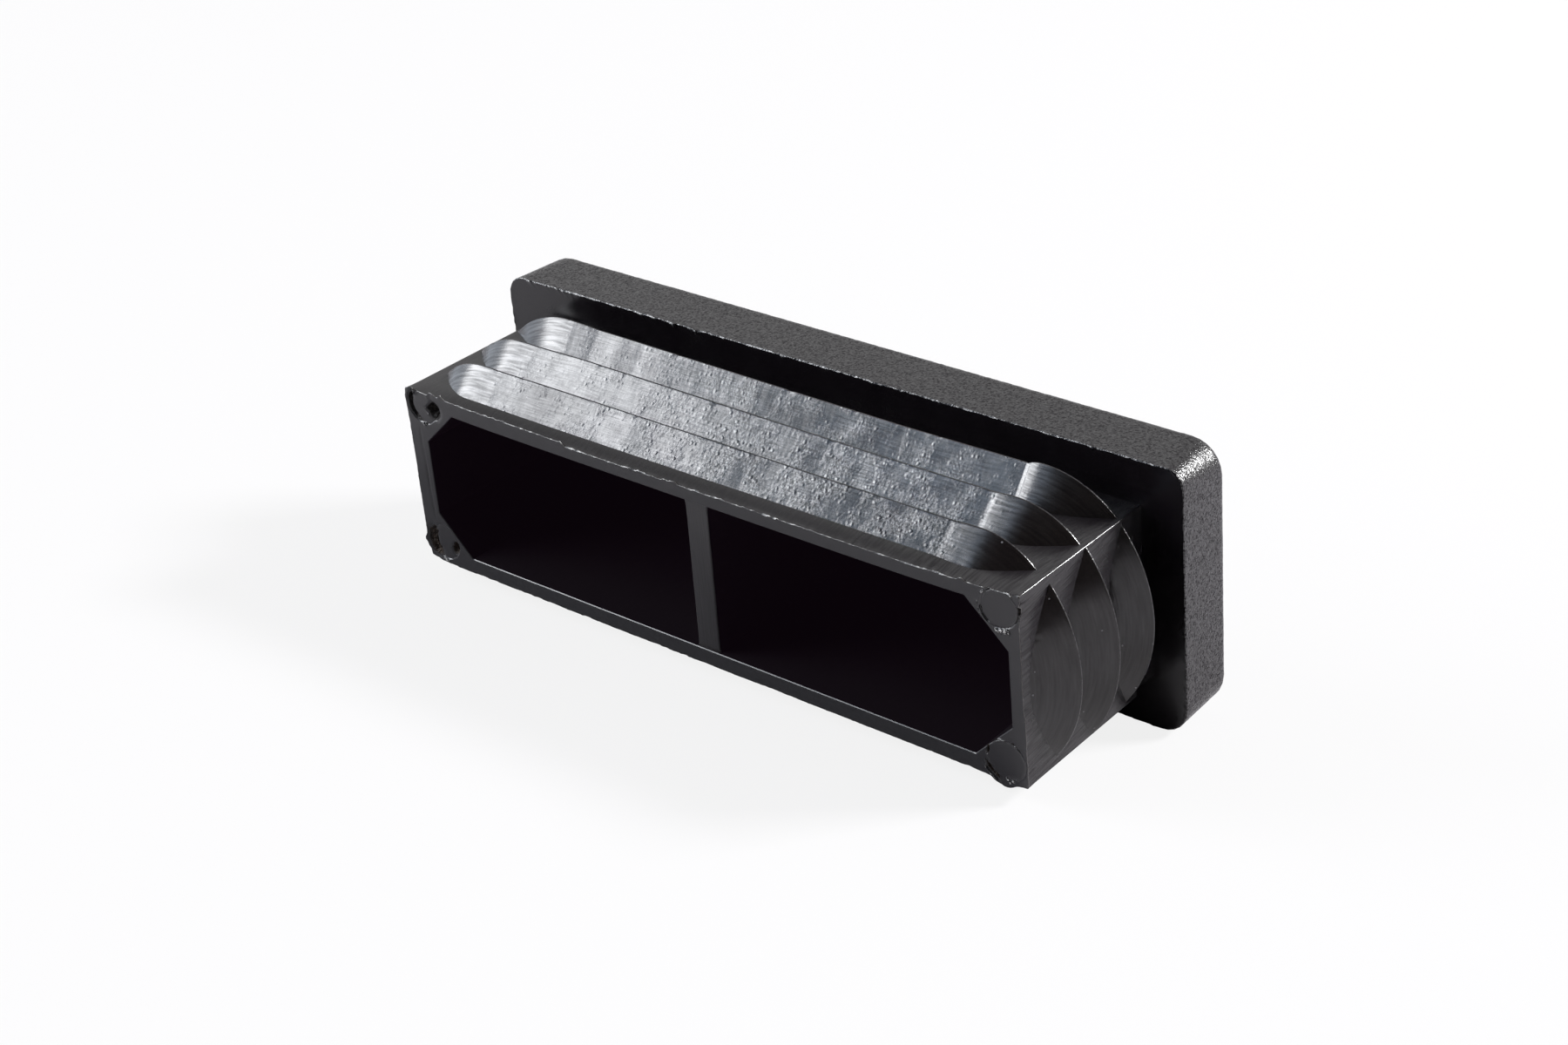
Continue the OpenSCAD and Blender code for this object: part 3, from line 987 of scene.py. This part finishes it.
def rim_finish():
    """Face of the rim and of the marks: flat satin with a faint cloud. The torn skin in the pits
    is rough and brownish, and what stands over the rim is a crust with pale specks, a painted highlight
    for glints of light."""
    skin = Finish("rim_face", PLASTIC)
    face = RIM_SINK - INSERT_L
    torn = skin.along("Y", face + 0.08, face + 0.16, 0, 1)
    raised = skin.along("Y", face - 0.015, face - 0.05, 0, 1)
    lumpy = skin.noise(0.18, 3, 0.6)
    tear = skin.mix_colours(skin.along("Z", -3, 3, 0, 1), TORN_BROWN, TORN_DARK)
    # Pale specks where the crust stands over the rim: a painted highlight in place of glints
    specks = skin.times(raised, skin.spread(lumpy, 0.44, 0.6, 0, 1))
    skin.set("Base Color", skin.mix_colours(specks, skin.mix_colours(torn, PLASTIC, tear), CRUST_PAINTED_GLINT))
    skin.set("Roughness", skin.spread(skin.noise(1.3, 3), 0.3, 0.7, 0.33, 0.42))
    skin.set("Specular IOR Level", skin.spread(torn, 0, 1, 0.61, 0.12))
    skin.roughen(
        (skin.noise(0.15, 3, 0.6), 0.003),
        (skin.times(lumpy, torn), 0.12),
        (skin.times(lumpy, raised), 0.25),
    )
    return skin.owner


def web_finish():
    """Edge of the web: satin with fine lines along it."""
    skin = Finish("web_edge", WEB_PLASTIC, 0.36)
    skin.set("Specular IOR Level", 0.68)
    skin.roughen((skin.noise(0.16, 2, 0.5, (1, 1, 0.05)), 0.02), (skin.noise(0.15), 0.003))
    return skin.owner


def flash_finish():
    """Thin edges and flash: the same plastic, paler in specks where the top edge is drawn out."""
    skin = Finish("flash_edge", THIN_PLASTIC)
    specks = skin.spread(skin.noise(0.3, 3, 0.6), 0.52, 0.64, 0, 1)
    drawn = skin.times(specks, skin.along("Z", 4, 6, 0.1, 1))
    skin.set("Base Color", skin.mix_colours(drawn, THIN_PLASTIC, DRAWN_PLASTIC))
    skin.roughen((skin.noise(0.12), 0.01))
    return skin.owner


def hollow_shade_and_glow_finish():
    """Inside of the hollow: smooth and almost black, with drawn lines along the pull of the
    mould. Its base colour, darker than the outside's, is painted shade of the recess, and a very weak
    emission is a painted glow that lifts its blacks."""
    skin = Finish("hollow_skin", HOLLOW_SHADE_BLACK, 0.45)
    skin.set("Specular IOR Level", 0.12)
    skin.set("Emission Color", HOLLOW_PAINTED_GLOW)
    skin.set("Emission Strength", 1.0)
    skin.roughen((skin.noise(0.3, 2, 0.5, (1, 0.1, 1)), 0.006))
    return skin.owner


def seat_finish():
    """Back of the head: the smoothest skin of the cap."""
    skin = Finish("seat_skin", PLASTIC)
    skin.set("Specular IOR Level", 0.42)
    skin.set("Roughness", skin.spread(skin.noise(3.0), 0.3, 0.7, 0.18, 0.28))
    skin.roughen((skin.noise(0.2), 0.001))
    return skin.owner


def grain_finish():
    """Outside of the head: the fine leathery grain of the mould, glossy on its small crests and
    dull in its pits."""
    skin = Finish("head_grain", PLASTIC)
    grain = skin.noise(0.17, 2, 0.65)
    skin.set("Roughness", skin.spread(grain, 0.35, 0.65, 0.3, 0.21))
    skin.set("Specular IOR Level", skin.spread(grain, 0.36, 0.64, 0.12, 0.88))
    skin.roughen((skin.noise(0.27, 2, 0.6), 0.022), (grain, 0.045), (skin.noise(0.07, 1, 0.5), 0.012))
    return skin.owner


FLOOR_GREY = (0.37, 0.36, 0.375)
WHITE = (1, 1, 1)

# How far under the cap the floor lies, and its corners: along X, and along the floor's own slope
FLOOR_GAP = 0.02
FLOOR_REACH = ((-3000, -190), (190, -190), (3000, 3000), (-3000, 3000))


def make_floor():
    """Pale floor on which the cap lies tilted, on the lower edge of the seat and the crest of
    its first fin. The camera sees it nearly white, with the cap's shadow left in."""
    seat_z = -HEAD_H / 2
    crest_y = FIN_CREST[0] - INSERT_L + CREST_T
    crest_z = -(INSERT_H / 2 + LONG_FINS["height"][0])
    tilt = math.atan2(crest_z - seat_z, -crest_y)
    along = np.array([0, math.cos(tilt), -math.sin(tilt)])
    up = np.array([0, math.sin(tilt), math.cos(tilt)])
    middle = np.array([0, 0, seat_z]) - FLOOR_GAP * up
    corners = [middle + (to_x, 0, 0) + to_y * along for to_x, to_y in FLOOR_REACH]
    mesh = bpy.data.meshes.new("floor")
    mesh.from_pydata(np.array(corners) * MM, [], [(0, 1, 2, 3)])
    floor = bpy.data.objects.new("floor", mesh)
    bpy.context.scene.collection.objects.link(floor)
    paint = Nodes(bpy.data.materials.new("floor_paint"))
    paint.tree.nodes.clear()
    matt = paint.add("ShaderNodeBsdfDiffuse", color=FLOOR_GREY)
    glow = paint.add("ShaderNodeEmission", color=WHITE, strength=1.0)
    paint.end("ShaderNodeOutputMaterial", matt, glow, 0.85)
    mesh.materials.append(paint.owner)


def make_world():
    """White for the camera. On the cap falls a pale light from behind and a dim one from the
    front, blended by the direction's Y."""
    world = Nodes(bpy.data.worlds.new("studio"))
    bpy.context.scene.world = world.owner
    world.tree.nodes.clear()
    where = world.add("ShaderNodeTexCoord").outputs["Generated"]
    to_back = world.add("ShaderNodeSeparateXYZ", where).outputs["Y"]
    light = world.spread(to_back, -0.3, 0.5, 0.06, 0.88, "SMOOTHSTEP")
    around = world.add("ShaderNodeBackground", color=(0.8, 0.8, 0.8), strength=light)
    white = world.add("ShaderNodeBackground", color=WHITE, strength=1.0)
    world.end("ShaderNodeOutputWorld", around, white, 1.0)


def make_lamp(name, around, up, distance, size, roll, radiance, colour):
    """Softbox that faces the cap from a direction, given as degrees around from +X towards +Y
    and up from the horizon, and rolled about that direction. An area lamp that gives off
    radiance L has the power pi * L * area."""
    lamp = bpy.data.lights.new(name, "AREA")
    lamp.shape = "RECTANGLE"
    lamp.size, lamp.size_y = size
    lamp.energy = math.pi * radiance * size[0] * size[1]
    lamp.color = colour
    made = bpy.data.objects.new(name, lamp)
    bpy.context.scene.collection.objects.link(made)
    around, up, roll = (math.radians(angle) for angle in (around, up, roll))
    towards = Vector((math.cos(up) * math.cos(around), math.cos(up) * math.sin(around), math.sin(up)))
    turned = towards.to_track_quat("Z", "Y") @ Quaternion((0, 0, 1), roll)
    made.location = towards * distance
    made.rotation_euler = turned.to_euler()
    made.visible_camera = False


def make_camera():
    """Camera at the photograph's place: focal length 3184 pixels for a picture 1800 wide."""
    lens = bpy.data.cameras.new("camera")
    lens.sensor_width = 36.0
    lens.lens = 63.69
    lens.clip_start, lens.clip_end = 0.01, 20
    camera = bpy.data.objects.new("camera", lens)
    bpy.context.scene.collection.objects.link(camera)
    right = (0.76219, 0.64166, -0.08567)
    up = (-0.26098, 0.42569, 0.86642)
    forward = (-0.59241, 0.63802, -0.49192)
    spot = (0.114305, -0.127655, 0.094563)
    rows = [[right[i], up[i], -forward[i], spot[i]] for i in range(3)] + [[0, 0, 0, 1]]
    camera.matrix_world = Matrix(rows)
    bpy.context.scene.camera = camera


make_camera()
make_floor()
make_world()
make_lamp("key_softbox", 208.5, 28.5, 1.0, (0.42, 0.62), 39, 13.0, (0.99, 0.99, 1.0))
make_lamp("fill_panel", 214, 38, 1.3, (0.8, 1.08), 39, 1.8, (0.66, 0.79, 1.0))
make_lamp("wide_panel", 218, 38, 1.5, (1.2, 1.3), 39, 0.12, (0.62, 0.8, 1.0))
make_lamp("left_panel", 188, 14, 1.4, (0.8, 0.7), 0, 2.2, (0.8, 0.88, 1.0))
make_lamp("back_softbox", 48, 31, 1.0, (0.25, 0.2), 0, 175.0, (1.0, 1.0, 1.0))

# The hollow's finish carries painted shade and a painted glow. It also goes on the head's pocket and
# the web's sides.
hollow = hollow_shade_and_glow_finish()
insert = make_insert([satin_finish(), slope_finish(), rim_finish(), hollow, flash_finish()])
head = make_head([seat_finish(), grain_finish(), hollow])
web = make_web([web_finish(), hollow])
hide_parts("end_cap")
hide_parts("end_cap")
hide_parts("end_cap")

scene = bpy.context.scene
scene.view_settings.view_transform = "Standard"
